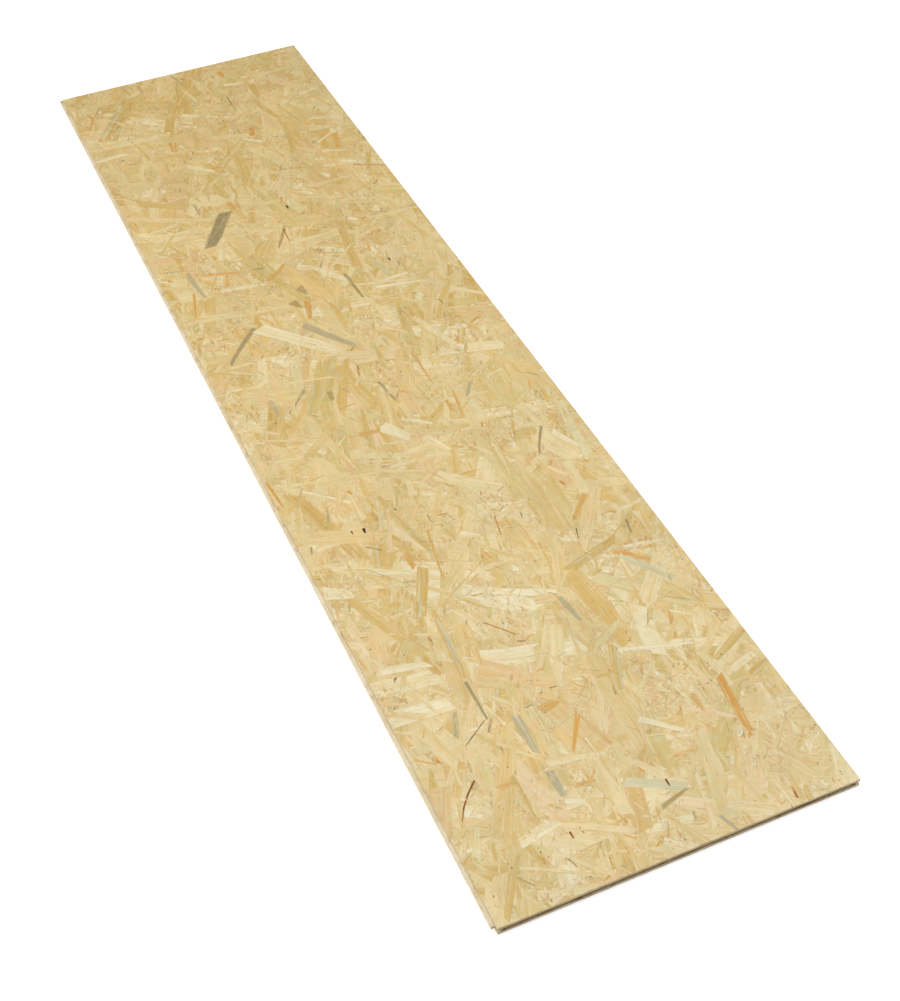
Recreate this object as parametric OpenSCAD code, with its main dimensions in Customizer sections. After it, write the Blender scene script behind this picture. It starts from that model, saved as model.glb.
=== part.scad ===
// Oriented strand board panel with a tongue and groove profile on all four edges.
// Lies flat with its underside on z = 0. The origin is at the middle of the underside's overall box.
// X runs across the width: tongue on the -X edge, groove on the +X edge.
// Y runs along the length: groove on the -Y edge, tongue on the +Y edge.

/* [Panel] */
// Width of the top face between its two long edges, mm
face_w = 590; // [400:5:1250]
// Length of the top face between its two short edges, mm
face_l = 2440; // [1200:10:3000]
// Thickness of the panel, mm
thick = 15; // [12:0.5:25]

/* [Joint] */
// How far the tongue stands out of its edge, mm
tongue_len = 6.5; // [4:0.5:8]
// Thickness of the tongue at its root, mm
tongue_root = 5.4; // [4:0.1:6.5]
// Thickness of the tongue at its nose, mm
tongue_nose = 4.8; // [3:0.1:6]
// Chamfer on both arrises of the tongue's nose, mm
nose_chamfer = 0.8; // [0.2:0.1:1.2]
// Gap above and below the tongue in its groove, mm
joint_gap = 0.3; // [0.1:0.05:0.6]
// Gap beyond the tongue's nose when two panels are pushed home, mm
nose_gap = 2; // [0.5:0.25:4]

/* [Hidden] */
// Height of the joint's middle above the underside
joint_z = thick / 2;
// Height and depth of the groove that takes the tongue
groove_h = max(tongue_root, tongue_nose) + 2 * joint_gap;
groove_depth = tongue_len + nose_gap;
// Overall size with the tongues
over_w = face_w + tongue_len;
over_l = face_l + tongue_len;

// Cross section with its tongue to the left of zero and its groove on the right.
// The sketch's x runs across the panel and its y runs up the thickness.
module joint_section(span) {
    polygon([
        [0, 0],
        [span, 0],
        [span, joint_z - groove_h / 2],
        [span - groove_depth, joint_z - groove_h / 2],
        [span - groove_depth, joint_z + groove_h / 2],
        [span, joint_z + groove_h / 2],
        [span, thick],
        [0, thick],
        [0, joint_z + tongue_root / 2],
        [-tongue_len + nose_chamfer, joint_z + tongue_nose / 2],
        [-tongue_len, joint_z + tongue_nose / 2 - nose_chamfer],
        [-tongue_len, joint_z - tongue_nose / 2 + nose_chamfer],
        [-tongue_len + nose_chamfer, joint_z - tongue_nose / 2],
        [0, joint_z - tongue_root / 2]
    ]);
}

// Section across the width, run along the whole length
module long_pass() {
    translate([-over_w / 2 + tongue_len, over_l / 2, 0])
        rotate([90, 0, 0])
            linear_extrude(height = over_l)
                joint_section(face_w);
}

// Section along the length, run across the whole width, with its tongue at the +Y end
module end_pass() {
    translate([over_w / 2, over_l / 2 - tongue_len, 0])
        rotate([90, 0, -90])
            linear_extrude(height = over_w)
                joint_section(face_l);
}

// The two milling passes meet: tongues join in one corner, grooves cross in the opposite one,
// and each groove runs out through the neighbouring tongue
module osb_panel() {
    color([0.86, 0.75, 0.53])
        intersection() {
            long_pass();
            end_pass();
        }
}

osb_panel();
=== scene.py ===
"""A tongue and groove strand board panel, lying flat on a pale studio floor."""

import logging
import math
from dataclasses import dataclass
from enum import Enum
from typing import Any, Callable, Sequence

import bmesh
import bpy
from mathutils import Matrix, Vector, noise

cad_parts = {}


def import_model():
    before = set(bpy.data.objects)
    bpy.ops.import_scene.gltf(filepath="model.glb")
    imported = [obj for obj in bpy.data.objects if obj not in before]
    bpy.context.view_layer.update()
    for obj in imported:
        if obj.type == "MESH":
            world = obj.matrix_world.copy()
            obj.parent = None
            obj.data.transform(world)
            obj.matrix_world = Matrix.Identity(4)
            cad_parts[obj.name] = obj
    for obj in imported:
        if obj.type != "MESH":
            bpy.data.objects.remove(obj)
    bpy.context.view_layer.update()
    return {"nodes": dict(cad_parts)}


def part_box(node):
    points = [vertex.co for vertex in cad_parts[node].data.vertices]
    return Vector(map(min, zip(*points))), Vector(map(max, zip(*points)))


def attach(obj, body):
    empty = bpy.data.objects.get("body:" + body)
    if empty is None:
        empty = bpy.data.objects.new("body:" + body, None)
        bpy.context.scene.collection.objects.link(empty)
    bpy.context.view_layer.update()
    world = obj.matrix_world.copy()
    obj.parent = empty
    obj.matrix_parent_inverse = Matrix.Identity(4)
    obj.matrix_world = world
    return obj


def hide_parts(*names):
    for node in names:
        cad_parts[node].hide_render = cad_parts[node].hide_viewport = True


LOG = logging.getLogger("strand_board")
MM = 0.001
NODE = "osb_panel"
BAKE_MAP = "OFBake"
HAND_LEVEL = 0.945
WELD = 1e-7

Colour = tuple[float, float, float]
Stops = tuple[tuple[float, Colour], ...]
Inputs = Sequence[Any] | dict[int | str, Any]


@dataclass(frozen=True)
class PanelSizes:
    """The panel's sizes in metres, taken from the frame's box and the joint's own sizes."""

    low: Vector
    high: Vector
    tongue: float = 6.5 * MM
    groove: float = 8.5 * MM
    tongue_root: float = 5.4 * MM

    @property
    def left(self) -> float:
        """The top face's edge on the tongued long side."""
        return self.low.x + self.tongue

    @property
    def right(self) -> float:
        """The top face's edge on the grooved long side."""
        return self.high.x

    @property
    def near(self) -> float:
        """The top face's edge on the grooved short side."""
        return self.low.y

    @property
    def far(self) -> float:
        """The top face's edge on the tongued short side."""
        return self.high.y - self.tongue

    @property
    def middle(self) -> float:
        """Height of the joint's middle."""
        return (self.low.z + self.high.z) / 2


class Side(Enum):
    """Which broad face a layer of strands lies on."""

    TOP = 1
    UNDER = -1


class Tone(Enum):
    """Wood tones, each a place along the strand finish's ramp."""

    DARK = 0.02
    RED_BROWN = 0.06
    RUST = 0.10
    ORANGE = 0.14
    OCHRE = 0.18
    OLIVE = 0.22
    GREY_BROWN = 0.26
    GREY = 0.30
    GREY_GREEN = 0.34
    GOLD = 0.42
    TAN = 0.50
    STRAW = 0.66
    CREAM = 0.97


@dataclass(frozen=True)
class Mark:
    """A listed strand, end to end, in millimetres from the near left corner of the top face."""

    x1: float
    y1: float
    x2: float
    y2: float
    width: float
    tone: Tone
    taper: float = 0.35
    bend: float = 0.0


@dataclass(frozen=True)
class StrandKind:
    """The habits of one kind of strand laid by formula: each pair is the least and the most, in metres."""

    length: tuple[float, float]
    width: tuple[float, float]
    level: tuple[float, float]
    sinking: float
    lean: float
    taper: float
    odd: float


LARGE = StrandKind((0.085, 0.215), (0.016, 0.046), (0.0, 0.88), sinking=1.15, lean=0.32, taper=0.35, odd=0.0)
MIDDLE = StrandKind((0.038, 0.125), (0.004, 0.0165), (0.0, 0.90), sinking=1.2, lean=0.46, taper=0.9, odd=0.03)
CHIP = StrandKind((0.006, 0.036), (0.0011, 0.0058), (0.40, 0.91), sinking=1.0, lean=0.66, taper=0.7, odd=0.17)


# ---- Node helpers ----


@dataclass(frozen=True)
class Value:
    """One output of a node. Plain signs between it and another value or number add Math nodes."""

    sheet: "NodeSheet"
    socket: bpy.types.NodeSocket

    def __add__(self, other: Any) -> "Value":
        """Their sum."""
        return self.sheet.maths("ADD", self, other)

    def __sub__(self, other: Any) -> "Value":
        """Their difference."""
        return self.sheet.maths("SUBTRACT", self, other)

    def __rsub__(self, other: float) -> "Value":
        """A plain number less this one."""
        return self.sheet.maths("SUBTRACT", other, self)

    def __mul__(self, other: Any) -> "Value":
        """Their product."""
        return self.sheet.maths("MULTIPLY", self, other)

    __radd__ = __add__
    __rmul__ = __mul__

    def __truediv__(self, other: Any) -> "Value":
        """Their ratio."""
        return self.sheet.maths("DIVIDE", self, other)

    def __pow__(self, other: Any) -> "Value":
        """This number to a power."""
        return self.sheet.maths("POWER", self, other)

    def __abs__(self) -> "Value":
        """This number without its sign."""
        return self.sheet.maths("ABSOLUTE", self)

    def __lt__(self, other: Any) -> "Value":
        """1 where this number is the less of the two."""
        return self.sheet.maths("LESS_THAN", self, other)

    def __gt__(self, other: Any) -> "Value":
        """1 where this number is the greater of the two."""
        return self.sheet.maths("GREATER_THAN", self, other)


class NodeSheet:
    """Adds nodes to one node tree and joins them."""

    def __init__(self, tree: bpy.types.NodeTree) -> None:
        """Takes the tree that the nodes go into."""
        self.tree = tree

    def add(self, kind: str, inputs: Inputs = (), **settings: Any) -> bpy.types.Node:
        """Adds one node.

        Args:
            kind: The node's type name.
            inputs: What its first inputs take, or a dictionary of what the named or numbered ones take.
            settings: Properties to set on it.

        Returns:
            The new node.
        """
        made = self.tree.nodes.new(kind)
        for name, value in settings.items():
            setattr(made, name, value)
        for key, value in inputs.items() if isinstance(inputs, dict) else enumerate(inputs):
            self.feed(made.inputs[key], value)
        return made

    def feed(self, socket: bpy.types.NodeSocket, value: Any) -> None:
        """Links a socket to a value, or sets its plain number.

        Args:
            socket: The input.
            value: What it takes, or None to leave it.
        """
        if isinstance(value, Value):
            self.tree.links.new(value.socket, socket)
        elif value is not None:
            socket.default_value = value

    def out(self, made: bpy.types.Node, which: int | str = 0) -> Value:
        """One output of a node."""
        return Value(self, made.outputs[which])

    def node(self, kind: str, inputs: Inputs = (), which: int | str = 0, **settings: Any) -> Value:
        """Adds a node and gives back one of its outputs.

        Args:
            kind: The node's type name.
            inputs: What its inputs take, as for add.
            which: Which output to give back.
            settings: Properties to set on the node.

        Returns:
            The output.
        """
        return self.out(self.add(kind, inputs, **settings), which)

    def maths(self, operation: str, a: Any, b: Any = None, c: Any = None, clamp: bool = False) -> Value:
        """One Math node."""
        return self.node("ShaderNodeMath", (a, b, c), operation=operation, use_clamp=clamp)

    def vector_maths(self, operation: str, *terms: Any) -> Value:
        """One Vector Math node."""
        return self.node("ShaderNodeVectorMath", terms, operation=operation)

    def vector(self, x: Any, y: Any, z: Any) -> Value:
        """Three numbers as one vector."""
        return self.node("ShaderNodeCombineXYZ", (x, y, z))

    def parts(self, vector: Any) -> list[Value]:
        """One vector as its three numbers."""
        made = self.add("ShaderNodeSeparateXYZ", (vector,))
        return [Value(self, socket) for socket in made.outputs]

    def spread(self, value: Any, low: Any, high: Any) -> Value:
        """Carries a number from 0..1 to low..high."""
        return self.node("ShaderNodeMapRange", {0: value, 3: low, 4: high}, clamp=False)

    def step(self, value: Any, start: float, end: float, low: float = 0.0, high: float = 1.0) -> Value:
        """A smooth step of a number from start to end, as low to high."""
        limits = (value, start, end, low, high)
        return self.node("ShaderNodeMapRange", limits, interpolation_type="SMOOTHSTEP")


class LayingTree(NodeSheet):
    """The Geometry Nodes tree that lays thousands of overlapping strands on a face."""

    INPUTS = (
        ("Hand Laid", "Geometry"), ("Count", "Int"), ("Seed", "Int"), ("Low", "Vector"), ("High", "Vector"),
        ("Base", "Float"), ("Relief", "Float"), ("Up", "Float"), ("Material", "Material"))
    LARGE_SHARE = 0.07
    CHIP_SHARE = 0.72
    CROSSED_SHARE = 0.30
    CROSSED_TURN = 1.92
    USUAL_TURN = 0.16
    ZONES = 7.5
    SPARSE = 0.49
    SKIRT = 0.03 * MM
    TILT = 0.024 * MM

    def __init__(self) -> None:
        """Makes the tree with its named inputs."""
        super().__init__(bpy.data.node_groups.new("strand_laying", "GeometryNodeTree"))
        for name, kind in self.INPUTS:
            self.tree.interface.new_socket(name, in_out="INPUT", socket_type="NodeSocket" + kind)
        self.tree.interface.new_socket("Geometry", in_out="OUTPUT", socket_type="NodeSocketGeometry")
        self.inputs = self.add("NodeGroupInput")
        self.salt = 0
        self.build()

    def given(self, name: str) -> Value:
        """One of the tree's own inputs."""
        return self.out(self.inputs, name)

    def chance(self, low: float = 0.0, high: float = 1.0) -> Value:
        """A new random number for each strand.

        Args:
            low: The least it may be.
            high: The most it may be.

        Returns:
            The number.
        """
        self.salt += 1
        seed = self.given("Seed") + float(self.salt * 17)
        return self.node("FunctionNodeRandomValue", {2: low, 3: high, "Seed": seed}, 1, data_type="FLOAT")

    def scatter(self) -> Value:
        """A point for each strand, anywhere on the face.

        Returns:
            The points.
        """
        limits = {0: self.given("Low"), 1: self.given("High"), "Seed": self.given("Seed")}
        spots = self.node("FunctionNodeRandomValue", limits, data_type="FLOAT_VECTOR")
        return self.node("GeometryNodePoints", (self.given("Count"), spots))

    def choose(self, test: Any, if_not: Any, if_so: Any) -> Value:
        """One of two numbers by a true or false."""
        return self.node("GeometryNodeSwitch", (test, if_not, if_so), input_type="FLOAT")

    def store(self, geometry: Value, name: str, value: Value) -> Value:
        """Keeps a vector on each point under a name."""
        inputs = {"Geometry": geometry, "Name": name, "Value": value}
        return self.node("GeometryNodeStoreNamedAttribute", inputs, data_type="FLOAT_VECTOR", domain="POINT")

    def stored(self, name: str) -> list[Value]:
        """A kept vector's three numbers."""
        kept = self.node("GeometryNodeInputNamedAttribute", {"Name": name}, data_type="FLOAT_VECTOR")
        return self.parts(kept)

    def joined(self, *items: Value) -> Value:
        """Several geometries as one.

        Args:
            items: The geometries, in order.

        Returns:
            The whole.
        """
        made = self.add("GeometryNodeJoinGeometry")
        for item in items:
            self.feed(made.inputs[0], item)
        return self.out(made)

    def blank(self, bays: int) -> Value:
        """A unit strand: a strip of quads with a skirt round its rim.

        Args:
            bays: How many quads the strip has.

        Returns:
            The strand's geometry, with each corner's own place kept.
        """
        grid = self.node("GeometryNodeMeshGrid", (1.0, 1.0, bays + 1, 2))
        faces_beside = self.node("GeometryNodeInputMeshEdgeNeighbors")
        lone = self.maths("COMPARE", faces_beside, 1.0, 0.1)
        inputs = {"Mesh": grid, "Selection": lone, "Offset Scale": -1.0}
        skirted = self.node("GeometryNodeExtrudeMesh", inputs, mode="EDGES")
        return self.store(skirted, "blank_at", self.node("GeometryNodeInputPosition"))

    def tones(self, large: Value, chip: Value, crossed: Value) -> Value:
        """Each strand's place along the finish's ramp: mostly pale, with some odd ones.

        Args:
            large: 1 for a large strand.
            chip: 1 for a chip.
            crossed: 1 for a strand that lies across the others, which is a little paler.

        Returns:
            The tone.
        """
        odd = self.chance() < self.choose(chip, self.choose(large, MIDDLE.odd, LARGE.odd), CHIP.odd)
        even = self.chance(0.40, 0.98)
        usual = self.choose(large, (even + self.chance(0.40, 1.0)) * 0.5, even)
        warm = self.chance() < 0.62
        strange = self.choose(warm, self.choose(chip, self.chance(0.14, 0.39), self.chance(0.07, 0.39)),
                              self.chance(0.11, 0.19))
        usual = self.maths("MINIMUM", usual + self.choose(crossed, -0.03, 0.10), 1.0)
        return self.choose(odd, usual, strange)

    def drawn(self) -> Value:
        """Random strands with their sizes, forms and looks.

        Returns:
            The points' geometry.
        """
        points = self.scatter()
        draw = self.chance()
        large = draw < self.LARGE_SHARE
        chip = draw > 1.0 - self.CHIP_SHARE

        def pick(habit: Callable[[StrandKind], Any]) -> Value:
            """A number that goes by the strand's kind.

            Args:
                habit: Gives a kind's number.

            Returns:
                The number.
            """
            of_large, of_middle, of_chip = [habit(kind) for kind in (LARGE, MIDDLE, CHIP)]
            return self.choose(chip, self.choose(large, of_middle, of_large), of_chip)

        even = self.chance()
        small = self.chance() ** 1.6
        length = pick(lambda kind: self.spread(even, *kind.length))
        width = pick(lambda kind: self.spread(small, *kind.width))
        bell = self.chance(-1.0, 1.0) + self.chance(-1.0, 1.0) + self.chance(-1.0, 1.0)
        lean = bell * pick(lambda kind: kind.lean)
        crossed = self.chance() < self.CROSSED_SHARE
        lean = lean * self.choose(crossed, 1.0, 0.7)
        turn = lean + self.choose(crossed, self.USUAL_TURN, self.CROSSED_TURN)
        taper = pick(lambda kind: self.chance(0.0, kind.taper))
        bend = self.chance(-0.018, 0.018) * length
        tone = self.tones(large, chip, crossed)
        depth = self.chance()
        level = pick(lambda kind: self.spread(depth ** kind.sinking, *kind.level))
        points = self.store(points, "strand_size", self.vector(length, width, self.chance()))
        points = self.store(points, "strand_form", self.vector(turn, taper, self.chance(-0.8, 0.8)))
        points = self.store(points, "strand_look", self.vector(tone, bend, level))
        here = self.node("GeometryNodeInputPosition")
        zones = self.node("ShaderNodeTexNoise", (here, None, self.ZONES, 2.0, 0.5))
        sparse = zones + self.chance(-0.14, 0.14) < self.SPARSE
        return self.node("GeometryNodeDeleteGeometry", (points, sparse * chip))

    def build(self) -> None:
        """Joins the whole tree."""
        laid = self.node("GeometryNodeMeshToPoints", (self.given("Hand Laid"),))
        points = self.joined(laid, self.drawn())
        short = self.stored("strand_size")[0] < CHIP.length[1]
        strands = self.joined(*[
            self.node("GeometryNodeInstanceOnPoints", (points, selected, self.blank(bays)))
            for selected, bays in ((1.0 - short, 3), (short, 1))])
        strands = self.node("GeometryNodeRealizeInstances", (strands,))
        strands = self.store(strands, "strand_at", self.along_and_across())
        strands = self.node("GeometryNodeSetPosition", (strands, None, self.place()))
        strands = self.node("GeometryNodeSetMaterial", (strands, None, self.given("Material")))
        self.add("NodeGroupOutput", (strands,))

    def along_and_across(self) -> Value:
        """Where a corner is on its own strand.

        Returns:
            Metres along and across the strand, and the strand's own random number, as a vector.
        """
        u, v, _ = self.stored("blank_at")
        length, width, own = self.stored("strand_size")
        return self.vector(u * length, v * width, own)

    def ragged(self, u: Value, v: Value, own: Value) -> list[Value]:
        """Two random numbers about nought for each corner of each strand, to make its outline ragged.

        Args:
            u: The corner's place along the strand.
            v: The corner's place across it.
            own: The strand's own random number.

        Returns:
            The two numbers.
        """
        seed = self.vector(self.maths("ROUND", u * 12.0), self.maths("ROUND", v * 12.0), own * 977.0)
        noisy = self.node("ShaderNodeTexWhiteNoise", (seed,), 1, noise_dimensions="3D")
        return [number - 0.5 for number in self.parts(noisy)[:2]]

    def tilt(self, u: Value, v: Value, own: Value, level: Value) -> Value:
        """How far a corner stands above its strand's middle, so that no two strands lie in one plane.

        Args:
            u: The corner's place along the strand.
            v: The corner's place across it.
            own: The strand's own random number.
            level: How high the strand lies; the listed ones stay level, on top of the rest.

        Returns:
            The height.
        """
        along = self.maths("FRACT", own * 13.7) - 0.5
        across = self.maths("FRACT", own * 29.3) - 0.5
        return (along * u + across * v) * (level < HAND_LEVEL) * self.TILT

    def place(self) -> Value:
        """Where each corner of each strand goes on the face.

        Returns:
            The place.
        """
        u, v, w = self.stored("blank_at")
        length, width, own = self.stored("strand_size")
        turn, taper, skew = self.stored("strand_form")
        _, bend, level = self.stored("strand_look")
        off_along, off_across = self.ragged(u, v, own)
        x, y, _ = self.parts(self.node("GeometryNodeInputPosition"))
        half_across = v * width
        reach = self.maths("MINIMUM", length * 0.22, width * 1.3)
        along = u * length + half_across * skew + off_along * reach
        past = u + 0.5
        kept = 1.0 - taper * (past * past) + off_across * 0.22
        across = (half_across * kept + bend * 4.0 * (u * u)) * self.given("Up")
        sine, cosine = self.maths("SINE", turn), self.maths("COSINE", turn)
        height = self.spread(level, 0.1, 1.0) * self.given("Relief") + self.tilt(u, v, own, level)
        height = height * (w + 1.0) + w * self.SKIRT
        return self.vector(x - u + (sine * along - cosine * across),
                           y - v + (cosine * along + sine * across),
                           self.given("Base") + height * self.given("Up"))


# ---- Finishes ----


def srgb(red: float, green: float, blue: float) -> tuple[float, float, float, float]:
    """A colour given as 0 to 255 on screen, as the linear numbers that a shader takes.

    Args:
        red: The red part.
        green: The green part.
        blue: The blue part.

    Returns:
        The colour, wholly opaque.
    """
    def linear(value: float) -> float:
        """One channel."""
        share = value / 255.0
        return share / 12.92 if share <= 0.04045 else ((share + 0.055) / 1.055) ** 2.4
    return (linear(red), linear(green), linear(blue), 1.0)


class Surface(NodeSheet):
    """A material being made: one Principled shader and the nodes that feed it."""

    def __init__(self, name: str, roughness: float, specular: float) -> None:
        """Makes the material.

        Args:
            name: The material's name.
            roughness: Its plain roughness, which nodes may replace.
            specular: Its specular level.
        """
        self.material = bpy.data.materials.new(name)
        self.material.use_nodes = True
        super().__init__(self.material.node_tree)
        self.tree.nodes.clear()
        plain = {"Roughness": roughness, "Specular IOR Level": specular}
        self.shader = self.add("ShaderNodeBsdfPrincipled", plain)
        self.add("ShaderNodeOutputMaterial", {"Surface": self.out(self.shader)})

    def cover(self, colour: Value, roughness: Value) -> None:
        """Gives the shader its colour and roughness."""
        self.feed(self.shader.inputs["Base Color"], colour)
        self.feed(self.shader.inputs["Roughness"], roughness)

    def ramp(self, value: Any, stops: Stops) -> Value:
        """A colour ramp.

        Args:
            value: What picks the place on it.
            stops: Each stop's place and its colour on screen.

        Returns:
            The colour.
        """
        made = self.add("ShaderNodeValToRGB", (value,))
        bar = made.color_ramp.elements
        while len(bar) > 1:
            bar.remove(bar[-1])
        for index, (place, colour) in enumerate(stops):
            stop = bar[0] if index == 0 else bar.new(place)
            stop.position = place
            stop.color = srgb(*colour)
        return self.out(made)

    def mix(self, share: Any, a: Any, b: Any, kind: str = "MIX") -> Value:
        """Two colours mixed."""
        inputs = {"Factor": share, 6: a, 7: b}
        return self.node("ShaderNodeMix", inputs, 2, data_type="RGBA", blend_type=kind)

    def tinted(self, mask: Any, strength: float, colour: Any, tint: Colour) -> Value:
        """A colour with some of another laid over it where a mask says."""
        return self.mix(mask * strength, colour, srgb(*tint))

    def object_place(self) -> Value:
        """A point's place on the piece, in metres."""
        return self.node("ShaderNodeTexCoord", (), "Object")

    def kept(self, name: str) -> Value:
        """A vector kept on the mesh."""
        return self.node("ShaderNodeAttribute", (), "Vector", attribute_name=name)

    def grain(self, at: Value, scale: float = 1.0, detail: float = 2.0, roughness: float = 0.5) -> Value:
        """A noise pattern's strength."""
        return self.node("ShaderNodeTexNoise", (at, None, scale, detail, roughness))

    def fibre(self, at: Value, along: float, across: float, apart: float, detail: float = 2.0,
              roughness: float = 0.5) -> Value:
        """A noise pattern drawn out along a strand or a layer.

        Args:
            at: The place.
            along: How fine the pattern is along X.
            across: How fine it is along Y.
            apart: How fine it is along Z, which on a strand is its own random number.
            detail: How much finer noise is in it.
            roughness: How strong the finer noise is.

        Returns:
            The pattern's strength.
        """
        return self.grain(self.scaled(at, along, across, apart), 1.0, detail, roughness)

    def scaled(self, at: Any, x: float, y: float, z: float) -> Value:
        """A vector stretched along its own axes."""
        return self.vector_maths("MULTIPLY", at, (x, y, z))

    def shade(self, colour: Any, amount: Any) -> Value:
        """A colour times a number."""
        return self.mix(1.0, colour, self.vector(amount, amount, amount), "MULTIPLY")

    def cells(self, at: Value, scale: float) -> tuple[Value, Value]:
        """A pattern of irregular cells.

        Args:
            at: The place.
            scale: How many cells there are to a metre.

        Returns:
            A random number for each cell, and how far a point is from the cell's middle.
        """
        inputs = {"Vector": at, "Scale": scale, "Randomness": 1.0}
        made = self.add("ShaderNodeTexVoronoi", inputs, feature="F1")
        return self.parts(self.out(made, "Color"))[0], self.out(made, "Distance")

    def flecks(self, place: Value, turn: float, across: float, along: float,
               warp: Value) -> tuple[Value, Value]:
        """Small pressed fragments lying one way.

        Args:
            place: Where on the piece.
            turn: Which way they lie, in radians from the length.
            across: How many there are to a metre across.
            along: How many there are to a metre along.
            warp: A vector that makes their outlines uneven.

        Returns:
            A random number for each fragment, and how near a point is to its rim.
        """
        moved = self.vector_maths("ADD", place, warp)
        turned = self.node("ShaderNodeVectorRotate", (moved, (0.0, 0.0, 0.0), (0.0, 0.0, 1.0), turn))
        own, distance = self.cells(self.scaled(turned, across, along, 1.0), 1.0)
        return own, self.step(distance, 0.30, 0.62)

    def bump(self, height: Value, strength: float, distance: float) -> None:
        """Gives the shader a bump from a height."""
        bump = self.node("ShaderNodeBump", {"Strength": strength, "Distance": distance, "Height": height})
        self.feed(self.shader.inputs["Normal"], bump)


@dataclass(frozen=True)
class StrandPoint:
    """What the strand finish knows about a point: its strand's numbers and where it is."""

    at: Value
    place: Value
    width: Value
    own: Value
    tone: Value
    level: Value
    rim: Value

    @classmethod
    def read(cls, look: Surface) -> "StrandPoint":
        """Reads the vectors kept on the strands.

        Args:
            look: The surface being made.

        Returns:
            The point.
        """
        at, place = look.kept("strand_at"), look.object_place()
        length, width, own = look.parts(look.kept("strand_size"))
        tone, _, level = look.parts(look.kept("strand_look"))
        u, v, _ = look.parts(look.kept("blank_at"))
        rim = look.maths("MINIMUM", (0.5 - abs(v)) * width, (0.5 - abs(u)) * length)
        return cls(at, place, width, own, tone, level, rim)


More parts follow.
